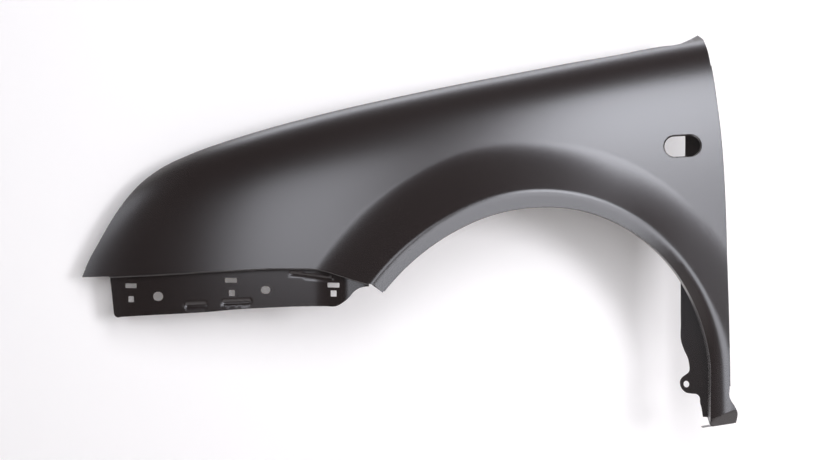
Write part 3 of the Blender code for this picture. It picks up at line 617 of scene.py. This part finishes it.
def headlampReturn(edges):
    edge = Edge(edges["top"])
    fold = Fold(edge, [(0, lampReturn["width"])])
    first, last = [edge.byX(x) for x in headlampEnds()]
    flat, faces = strip(fold, first, last, straightEdge(fold, first, last))
    return fold.lift(flat), faces


# Bonnet channel: a wall down from the top edge, then a shelf inboard with bolt seats
channel = {
    "wall": 0.016,
    "shelf": 0.026,
    "rear": 0.189,
    "front": -0.675,
    "bolts": [0.160, -0.052, -0.264, -0.474, -0.636],
    "down": (0, 0.17, -0.985),   # along the wall, inboard as it goes down
    "corner": 0.010,
    "hole": 0.0075,
    "slotting": 0.00375,     # added to the length of every other hole
    "seatLength": 0.030,
    "seatWidth": 0.018,
    "seatCorner": 0.004,
    "seatStep": 0.003,       # between points round a seat
    "seatGrown": 1.001,      # so that a seat takes in its own outline
}


def bonnetChannel(edges):
    edge = Edge(edges["top"])
    fold = Fold(edge, [(channel["down"], channel["wall"]), ((0, 1, 0), channel["shelf"])])
    first, last = edge.byX(channel["rear"]), edge.byX(channel["front"])
    middle = fold.last + channel["shelf"] / 2
    places = [(edge.byX(x), middle) for x in channel["bolts"]]
    lengths = [channel["hole"], channel["hole"] + channel["slotting"]]
    holes = [roundedSlot(place, lengths[i % 2], channel["hole"], channel["hole"] / 2)
             for i, place in enumerate(places)]
    seats = [roundedSlot(place, channel["seatLength"], channel["seatWidth"],
                         channel["seatCorner"], step=channel["seatStep"]) for place in places]
    freeEdge = straightEdge(fold, first, last, channel["corner"])
    flat, faces = strip(fold, first, last, freeEdge, holes, seats)
    spots, centres = fold.lift(flat), fold.lift(places)
    for centre, normal, seat in zip(centres, np.cross(fold.heading, fold.tangent), seats):
        # the material of each seat lies in one plane
        normal = normal / np.linalg.norm(normal)
        grown = (seat - seat.mean(axis=0)) * channel["seatGrown"] + seat.mean(axis=0)
        onSeat = inside(flat, grown)
        height = (spots[onSeat] - centre) @ normal
        spots[onSeat] -= height[:, None] * normal
    return spots, faces


# Bumper flange, hung from a joggle under the bumper line. Places are X and Z in side view.
bumper = {
    "joggle": 0.012,
    "joggleLeast": 0.12,     # share of the joggle that is left at the gusset's tip
    "front": -0.787,
    "rear": -0.3035,
    "gussetBend": -0.345,
    "drop": 0.063,
    "foot": [(-0.7799, 0.0883), (-0.7085, 0.0936), (-0.6516, 0.0973), (-0.5945, 0.1014),
             (-0.5397, 0.1066), (-0.4844, 0.1098), (-0.4299, 0.1123), (-0.3849, 0.1133),
             (-0.3618, 0.114)],
    "gussetFoot": [(-0.3528, 0.1189), (-0.3418, 0.1274), (-0.3308, 0.14), (-0.3199, 0.1474),
                   (-0.3089, 0.1500), (-0.3034, 0.1506)],
    "corner": 0.009,
    "cornerPoints": 7,
    "cornerClear": 1.2,      # the foot's own points start this many radii from the front edge
    "clipSlots": [(-0.746, 0.1473), (-0.5559, 0.1589), (-0.3679, 0.1512)],
    "slotSize": (0.022, 0.0085, 0.0012),   # length, height, corner
    "squareHoles": [(-0.7455, 0.1225), (-0.5543, 0.1356), (-0.3676, 0.1362)],
    "squareSize": (0.011, 0.011, 0.0010),
    "locatingHoles": [(-0.6931, 0.1284, 0.0192, 0.0164), (-0.4922, 0.1417, 0.0173, 0.0138)],
    # sunk beads: X, Z, length, height, slope
    "beads": [(-0.6214, 0.1122, 0.0416, 0.0096, 0.05), (-0.5455, 0.1189, 0.0543, 0.0092, 0.05),
              (-0.4086, 0.1660, 0.080, 0.0056, -0.12)],
    "beadDepth": 0.0020,
    "beadWall": 0.0025,
    "beadRows": (0.25, 0.5, 0.75, 1.0, 1.4),   # rings of points, in walls from the edge
}


def bumperFlange(edges):
    edge = Edge(edges["bumper"])
    bend, tip = edge.byX(bumper["gussetBend"]), edge.byX(bumper["rear"])

    def joggleLeft(a):
        return np.clip((tip - a) / (tip - bend), bumper["joggleLeast"], 1)

    def sideView(points):
        # distances along and across the strip of points given by X and Z
        x, z = np.asarray(points, float).T
        along = np.interp(x, edge.flat[:, 0], edge.along)
        lineZ = np.interp(x, edge.flat[:, 0], edge.flat[:, 1])
        return np.stack([along, fold.last + lineZ - 2 * sheet["bend"] - z], axis=1)

    legs = [((0, 1, 0), bumper["joggle"]), ((0, 0, -1), bumper["drop"])]
    fold = Fold(edge, legs, joggleLeft, upright=True)
    foot = smoothCurve(bumper["foot"] + bumper["gussetFoot"], sheet["spacing"])[::-1]
    front, radius = foot[-1], bumper["corner"]
    corner = [front + radius * np.array([1 - math.sin(t), 1 - math.cos(t)])
              for t in np.linspace(0, math.pi / 2, bumper["cornerPoints"])]
    foot = foot[foot[:, 0] > front[0] + radius * bumper["cornerClear"]]
    edgeZ = np.interp(front[0], edge.flat[:, 0], edge.flat[:, 1])
    up = line(corner[-1], (bumper["front"], edgeZ - 3 * sheet["bend"]), sheet["spacing"])[1:]
    freeEdge = sideView(np.concatenate([foot, corner, up]))
    holes = [roundedSlot(place, *bumper["slotSize"]) for place in bumper["clipSlots"]]
    holes += [roundedSlot(place, *bumper["squareSize"]) for place in bumper["squareHoles"]]
    holes += [roundedSlot((x, z), length, width, width / 2)
              for x, z, length, width in bumper["locatingHoles"]]
    holes = [sideView(hole) for hole in holes]

    def beadRings(share):
        step = 2 * share * bumper["beadWall"]
        return [roundedSlot((x, z), length - step, width - step, width / 2, slope)
                for x, z, length, width, slope in bumper["beads"] if width > step]

    beadLoops = beadRings(0)
    extra = [ring for share in bumper["beadRows"] for ring in beadRings(share)]
    flat, faces = strip(fold, edge.byX(bumper["front"]), tip, freeEdge, holes,
                        [sideView(loop) for loop in beadLoops], sideView(np.concatenate(extra)))
    spots = fold.lift(flat)
    out = np.cross(fold.heading, fold.tangent)
    for loop in beadLoops:
        loop = sideView(loop)
        sunk = inside(flat, loop)
        share = np.clip(toLoop(flat[sunk], loop) / bumper["beadWall"], 0, 1)
        depth = bumper["beadDepth"] * share * share * (3 - 2 * share)
        spots[sunk] -= depth[:, None] * out[sunk]
    return spots, faces


# Door side flange: Z and reach forward of its free edge
door = {
    "return": 0.012,
    "angle": math.radians(40),
    "outline": [(-0.0835, 0.0400), (-0.068, 0.0418), (-0.058, 0.0440), (-0.0485, 0.0445),
                (-0.0445, 0.0475), (-0.0431, 0.0568), (-0.0414, 0.0662), (-0.0347, 0.0725),
                (-0.0222, 0.0749), (-0.0157, 0.0723), (-0.0108, 0.0675), (-0.0049, 0.0611),
                (0.015, 0.0608), (0.0379, 0.0684), (0.0504, 0.0717), (0.0865, 0.0718),
                (0.150, 0.0705), (0.280, 0.068), (0.400, 0.055), (0.545, 0.045)],
    "outlineStep": 0.00312,
    "heelReach": 0.012,      # under the outline, back to the foot of the rear edge
    "heelDrop": 0.012,
    "heelTip": 0.006,
    "earHole": 0.012,
    "earPlace": (-0.0265, 0.0650),
}


def doorFlange(edges):
    edge = Edge(edges["rear"])
    forward = (-math.cos(door["angle"]), math.sin(door["angle"]), 0)
    reach = max(ahead for _, ahead in door["outline"]) / math.cos(door["angle"])
    fold = Fold(edge, [((0, 1, 0), door["return"]), (forward, reach)])
    first, last = edge.along[1], edge.byZ(door["outline"][-1][0])

    def across(z, ahead):
        a = edge.byZ(z) if z > edge.flat[0, 1] else z - edge.flat[0, 1]
        return (a, fold.last + ahead / math.cos(door["angle"]))

    knots = [across(z, ahead) for z, ahead in door["outline"]]
    freeEdge = smoothCurve(knots, door["outlineStep"])[::-1]
    heel = [across(door["outline"][0][0], door["heelReach"]),
            across(edge.flat[0, 1] - door["heelDrop"], door["heelTip"])]
    hole = roundedSlot(across(*door["earPlace"]), door["earHole"], door["earHole"],
                       door["earHole"] / 2)
    flat, faces = strip(fold, first, last, np.concatenate([freeEdge, heel]), [hole])
    return fold.lift(flat), faces


def indicatorCollar():
    # the collar turned inwards round the indicator opening
    fold = Fold(Edge(indicatorOutline()[::-1], closed=True), [(indicator["rimLean"], indicator["rim"])])
    count, rows = len(fold.edge.flat), fold.rows()
    flat = [(a, v) for v in rows for a in fold.edge.along]
    faces = []
    for j in range(len(rows) - 1):
        for i in range(count):
            k = (i + 1) % count
            a, b = j * count + i, j * count + k
            faces += [(a, b, b + count), (a, b + count, a + count)]
    return fold.lift(flat), np.array(faces)


def blank(edges):
    order = ("arch", "sill", "foot", "rear", "rearTop", "top", "bumper")
    outline = np.concatenate([edges[name] for name in order])
    outline = spaced(outline)
    wanted, clearance, settled = formPoints(edges)
    flat, faces = triangulate(outline, [], [indicatorOutline()], wanted, clearance, settled,
                              sheet["relaxTurns"])
    return onSurface(flat), faces


def addPatch(made, places, faces):
    verts = [made.verts.new(p) for p in places]
    used = set()
    for face in faces:
        if len(set(face)) == 3:
            made.faces.new([verts[i] for i in face])
            used.update(face)
    for i, vertex in enumerate(verts):
        if i not in used:
            made.verts.remove(vertex)


def drawnNormals(mesh):
    # normals at the corners of the faces, from the drawn surface wherever the sheet lies on it
    places = np.array([vertex.co for vertex in mesh.vertices])
    corners = np.array([corner.vector for corner in mesh.corner_normals])
    drawn = outwardNormals(places[:, [0, 2]])
    depth = (surfaceDepth(places[:, 0], places[:, 2]) - places[:, 1]) * drawn[:, 1]
    near = sheet["drawnWithin"]
    onSheet = (abs(depth) < near) | (abs(depth - sheet["thickness"]) < near)
    owner = np.array([loop.vertex_index for loop in mesh.loops])
    along = (corners * drawn[owner]).sum(axis=1)
    ruled = onSheet[owner] & (abs(along) > math.cos(sheet["drawnTilt"]))
    corners[ruled] = drawn[owner[ruled]] * np.sign(along[ruled])[:, None]
    return corners


def makePanel():
    edges = blankEdges()
    patches = {
        "skin": blank(edges),
        "indicator collar": indicatorCollar(),
        "arch return": archReturn(edges),
        "sill flange": sillFlange(edges),
        "headlamp return": headlampReturn(edges),
        "bonnet channel": bonnetChannel(edges),
        "bumper flange": bumperFlange(edges),
        "door flange": doorFlange(edges),
    }
    made = bmesh.new()
    for name, (places, faces) in patches.items():
        addPatch(made, places, faces)
        print("formed", name, "with", len(faces), "triangles")
    bmesh.ops.remove_doubles(made, verts=made.verts, dist=sheet["weld"])
    bmesh.ops.recalc_face_normals(made, faces=made.faces)
    if sum(face.normal.y * face.calc_area() for face in made.faces) > 0:
        bmesh.ops.reverse_faces(made, faces=made.faces)
    flatMesh = bpy.data.meshes.new("fenderSheet")
    made.to_mesh(flatMesh)
    made.free()
    rough = bpy.data.objects.new("fenderSheet", flatMesh)
    bpy.context.collection.objects.link(rough)
    thick = rough.modifiers.new("thickness", "SOLIDIFY")
    thick.thickness = sheet["thickness"]
    thick.offset = -1
    thick.use_even_offset = True
    graph = bpy.context.evaluated_depsgraph_get()
    mesh = bpy.data.meshes.new_from_object(rough.evaluated_get(graph))
    bpy.data.objects.remove(rough)
    mesh.name = "fenderPanel"
    for polygon in mesh.polygons:
        polygon.use_smooth = True
    mesh.set_sharp_from_angle(angle=sheet["sharp"])
    shading = drawnNormals(mesh)
    places = np.array([vertex.co for vertex in mesh.vertices])
    low, high = places.min(axis=0), places.max(axis=0)
    boxLow, boxHigh = np.array(panelBox)
    places = boxLow + (places - low) * (boxHigh - boxLow) / (high - low)
    mesh.vertices.foreach_set("co", places.ravel())
    mesh.normals_split_custom_set(shading)
    panel = bpy.data.objects.new("fenderPanel", mesh)
    bpy.context.collection.objects.link(panel)
    print("panel has", len(mesh.polygons), "faces")
    return panel


# Satin black primer, baked on: dark grey, a soft sheen and a faint orange peel
primer = {
    "colour": (0.0185, 0.0125, 0.0110, 1),
    "colourPale": (0.0215, 0.0150, 0.0132, 1),
    "roughness": 0.27,
    "specular": 0.75,
    "ior": 1.75,
    "peelSize": 0.0040,      # metres between the bumps of the orange peel
    "peelHeight": 0.000003,
    "mottleSize": 0.09,
}


def satinPrimer():
    material = bpy.data.materials.new("satinBlackPrimer")
    material.use_nodes = True
    nodes, links = material.node_tree.nodes, material.node_tree.links
    surface = nodes["Principled BSDF"]
    surface.inputs["Roughness"].default_value = primer["roughness"]
    surface.inputs["IOR"].default_value = primer["ior"]
    surface.inputs["Specular IOR Level"].default_value = primer["specular"]
    place = nodes.new("ShaderNodeTexCoord")

    mottle = nodes.new("ShaderNodeTexNoise")
    mottle.inputs["Scale"].default_value = 1 / primer["mottleSize"]
    mottle.inputs["Detail"].default_value = 0
    links.new(place.outputs["Object"], mottle.inputs["Vector"])

    tone = nodes.new("ShaderNodeMix")
    tone.data_type = "RGBA"
    for socket in tone.inputs:
        if socket.type == "RGBA" and socket.name in ("A", "B"):
            socket.default_value = primer["colour" if socket.name == "A" else "colourPale"]
    links.new(mottle.outputs["Fac"], tone.inputs["Factor"])
    shade = next(socket for socket in tone.outputs if socket.type == "RGBA")
    links.new(shade, surface.inputs["Base Color"])

    peel = nodes.new("ShaderNodeTexNoise")
    peel.inputs["Scale"].default_value = 1 / primer["peelSize"]
    peel.inputs["Detail"].default_value = 0
    links.new(place.outputs["Object"], peel.inputs["Vector"])
    bump = nodes.new("ShaderNodeBump")
    bump.inputs["Strength"].default_value = 1.0
    bump.inputs["Distance"].default_value = primer["peelHeight"]
    links.new(peel.outputs["Fac"], bump.inputs["Height"])
    links.new(bump.outputs["Normal"], surface.inputs["Normal"])
    return material


# Camera: level and square to the side of the car
view = {
    "behindNose": 0.6105,    # from the nose tip to the lens axis
    "aboveFoot": 0.3507,
    "aheadOfArch": 0.2313,   # from the lens axis to the centre of the wheel arch
    "aboveArch": 0.2493,
    "distance": 2.8,         # from the outermost line of the panel
    "lens": 69.84,
    "sensor": 36,
}


def makeCamera():
    low = panelBox[0]
    data = bpy.data.cameras.new("camera")
    data.lens, data.sensor_width = view["lens"], view["sensor"]
    camera = bpy.data.objects.new("camera", data)
    bpy.context.collection.objects.link(camera)
    camera.location = (low.x + view["behindNose"], low.y - view["distance"],
                       low.z + view["aboveFoot"])
    camera.rotation_euler = (math.pi / 2, 0, 0)
    bpy.context.scene.camera = camera


def archCentre():
    # the zero point of the drawing axes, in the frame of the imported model
    low = panelBox[0]
    return Vector((low.x + view["behindNose"] + view["aheadOfArch"], low.y,
                   low.z + view["aboveFoot"] - view["aboveArch"]))


# Pale studio: a wall close behind the panel, a floor below it and a room that is dark in front
studio = {
    "wallBehind": 0.035,     # from the innermost point of the panel
    "floorBelow": 1.30,
    "size": 3.6,
    "cove": 0.12,            # radius between wall and floor
    "coveFacets": 12,
    "wallColour": (0.90, 0.86, 0.815, 1),
    "floorColour": (0.72, 0.70, 0.68, 1),
    "wallLift": (0.16, 0.16, 0.16, 1),   # added to the wall where it is seen or mirrored
    "floorLift": (0.02, 0.02, 0.02, 1),
    "roomLight": 0.05,       # what the world adds to matt surfaces
    "roomSheen": 0.006,      # what glossy surfaces see of the dark side of the room
    "roomEdge": 0.10,        # half the width of the soft edge between white and dark
}


def mixed(nodes, links, share, first, second):
    mix = nodes.new("ShaderNodeMixShader")
    links.new(share, mix.inputs["Fac"])
    links.new(first, mix.inputs[1])
    links.new(second, mix.inputs[2])
    return mix.outputs["Shader"]


def whereSeen(nodes, links, unseen, seen):
    # the second shader for camera, glossy and transmission rays, the first for all others
    path = nodes.new("ShaderNodeLightPath")
    total = path.outputs["Is Camera Ray"]
    for name in ("Is Glossy Ray", "Is Transmission Ray"):
        either = nodes.new("ShaderNodeMath")
        either.operation = "MAXIMUM"
        links.new(total, either.inputs[0])
        links.new(path.outputs[name], either.inputs[1])
        total = either.outputs["Value"]
    return mixed(nodes, links, total, unseen, seen)


def palePaper(name, colour, lifted):
    material = bpy.data.materials.new(name)
    material.use_nodes = True
    nodes, links = material.node_tree.nodes, material.node_tree.links
    nodes.clear()
    matt = nodes.new("ShaderNodeBsdfDiffuse")
    matt.inputs["Color"].default_value = colour
    lift = nodes.new("ShaderNodeBsdfDiffuse")
    lift.inputs["Color"].default_value = lifted
    bright = nodes.new("ShaderNodeAddShader")
    links.new(matt.outputs["BSDF"], bright.inputs[0])
    links.new(lift.outputs["BSDF"], bright.inputs[1])
    # clear from behind, so that the stage never hides the panel
    paper = whereSeen(nodes, links, matt.outputs["BSDF"], bright.outputs["Shader"])
    clear = nodes.new("ShaderNodeBsdfTransparent")
    side = nodes.new("ShaderNodeNewGeometry")
    out = nodes.new("ShaderNodeOutputMaterial")
    links.new(mixed(nodes, links, side.outputs["Backfacing"], paper, clear.outputs["BSDF"]),
              out.inputs["Surface"])
    return material


def makeStage():
    low, high = panelBox
    middle, half, cove = (low.x + high.x) / 2, studio["size"], studio["cove"]
    wallY, floorZ = high.y + studio["wallBehind"], low.z - studio["floorBelow"]
    profile = [(wallY, high.z + half), (wallY, floorZ + cove)]
    turns = np.linspace(0, math.pi / 2, studio["coveFacets"] + 1)[1:-1]
    profile += [(wallY - cove * (1 - math.cos(t)), floorZ + cove * (1 - math.sin(t)))
                for t in turns]
    profile += [(wallY - cove, floorZ), (low.y - half, floorZ)]
    made = bmesh.new()
    rows = [[made.verts.new((x, y, z)) for x in (middle - half, middle + half)]
            for y, z in profile]
    for above, below in zip(rows, rows[1:]):
        made.faces.new((above[0], below[0], below[1], above[1]))
    bmesh.ops.recalc_face_normals(made, faces=made.faces)
    made.faces.ensure_lookup_table()
    if made.faces[0].normal.y > 0:
        bmesh.ops.reverse_faces(made, faces=made.faces)
    mesh = bpy.data.meshes.new("backdrop")
    made.to_mesh(mesh)
    made.free()
    for polygon in mesh.polygons:
        polygon.use_smooth = True
    backdrop = bpy.data.objects.new("backdrop", mesh)
    bpy.context.collection.objects.link(backdrop)
    mesh.materials.append(palePaper("paleWall", studio["wallColour"], studio["wallLift"]))
    mesh.materials.append(palePaper("paleFloor", studio["floorColour"], studio["floorLift"]))
    mesh.polygons[-1].material_index = 1     # the floor


# Softboxes: place from the centre of the wheel arch, size, brightness, tilt from facing down to
# facing the panel, and turn to the left
lamps = {
    "key": {"right": 0.52, "ahead": 2.6, "above": 1.80, "size": (1.35, 1.70),
            "radiance": 5.7, "tilt": 90, "turn": 0},
    "stem": {"right": 0.42, "ahead": 2.6, "above": 0.12, "size": (1.25, 1.46),
             "radiance": 3.2, "tilt": 90, "turn": 0},
    "left": {"right": -1.35, "ahead": 2.6, "above": 0.95, "size": (1.10, 1.30),
             "radiance": 2.7, "tilt": 90, "turn": 0},
    "right": {"right": 2.30, "ahead": 2.6, "above": 0.80, "size": (1.40, 1.60),
              "radiance": 0.45, "tilt": 90, "turn": 0},
    "nose": {"right": -3.40, "ahead": 0.4, "above": 0.90, "size": (0.90, 2.60),
             "radiance": 1.5, "tilt": 90, "turn": -90},
    "top": {"right": -0.75, "ahead": 0.0, "above": 3.30, "size": (3.10, 0.50),
            "radiance": 5.5, "tilt": 0, "turn": 0},
    # throws the shadows on the wall, and shows in no gloss
    "shade": {"right": 3.20, "ahead": 5.0, "above": 0.80, "size": (1.60, 1.60),
              "radiance": 25.0, "tilt": 90, "turn": 0, "glossy": False},
}
lampColour = (0.90, 0.92, 1.0)


def makeLamps():
    for name, lamp in lamps.items():
        data = bpy.data.lights.new(name, "AREA")
        data.shape = "RECTANGLE"
        data.size, data.size_y = lamp["size"]
        data.color = lampColour
        data.energy = lamp["radiance"] * math.pi * data.size * data.size_y
        softbox = bpy.data.objects.new(name, data)
        bpy.context.collection.objects.link(softbox)
        softbox.location = archCentre() + Vector((lamp["right"], -lamp["ahead"], lamp["above"]))
        softbox.rotation_euler = (math.radians(lamp["tilt"]), 0, math.radians(lamp["turn"]))
        softbox.visible_camera = False
        softbox.visible_glossy = lamp.get("glossy", True)


def makeRoom():
    world = bpy.data.worlds.new("studioRoom")
    bpy.context.scene.world = world
    world.use_nodes = True
    nodes, links = world.node_tree.nodes, world.node_tree.links
    nodes.clear()
    shades = {}
    for name, value in (("white", 1.0), ("room", studio["roomLight"]),
                        ("sheen", studio["roomSheen"])):
        shades[name] = nodes.new("ShaderNodeBackground")
        shades[name].inputs["Color"].default_value = (1, 1, 1, 1)
        shades[name].inputs["Strength"].default_value = value
        shades[name] = shades[name].outputs["Background"]

    # seen from the panel, the room is white behind it and dark in front of it
    place = nodes.new("ShaderNodeTexCoord")
    parts = nodes.new("ShaderNodeSeparateXYZ")
    links.new(place.outputs["Generated"], parts.inputs["Vector"])
    behind = nodes.new("ShaderNodeMapRange")
    behind.inputs["From Min"].default_value = -studio["roomEdge"]
    behind.inputs["From Max"].default_value = studio["roomEdge"]
    links.new(parts.outputs["Y"], behind.inputs["Value"])
    mirrored = mixed(nodes, links, behind.outputs["Result"], shades["sheen"], shades["white"])

    path = nodes.new("ShaderNodeLightPath")
    seen = mixed(nodes, links, path.outputs["Is Camera Ray"], mirrored, shades["white"])
    out = nodes.new("ShaderNodeOutputWorld")
    links.new(whereSeen(nodes, links, shades["room"], seen), out.inputs["Surface"])


makeCamera()
print("camera placed")
fenderPanel = makePanel()
fenderPanel.data.materials.clear()
fenderPanel.data.materials.append(satinPrimer())
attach(fenderPanel, "root")
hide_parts("fender_panel")
print("panel painted")
makeStage()
makeLamps()
makeRoom()
bpy.context.scene.view_settings.view_transform = "Standard"
print("stage and lamps placed")
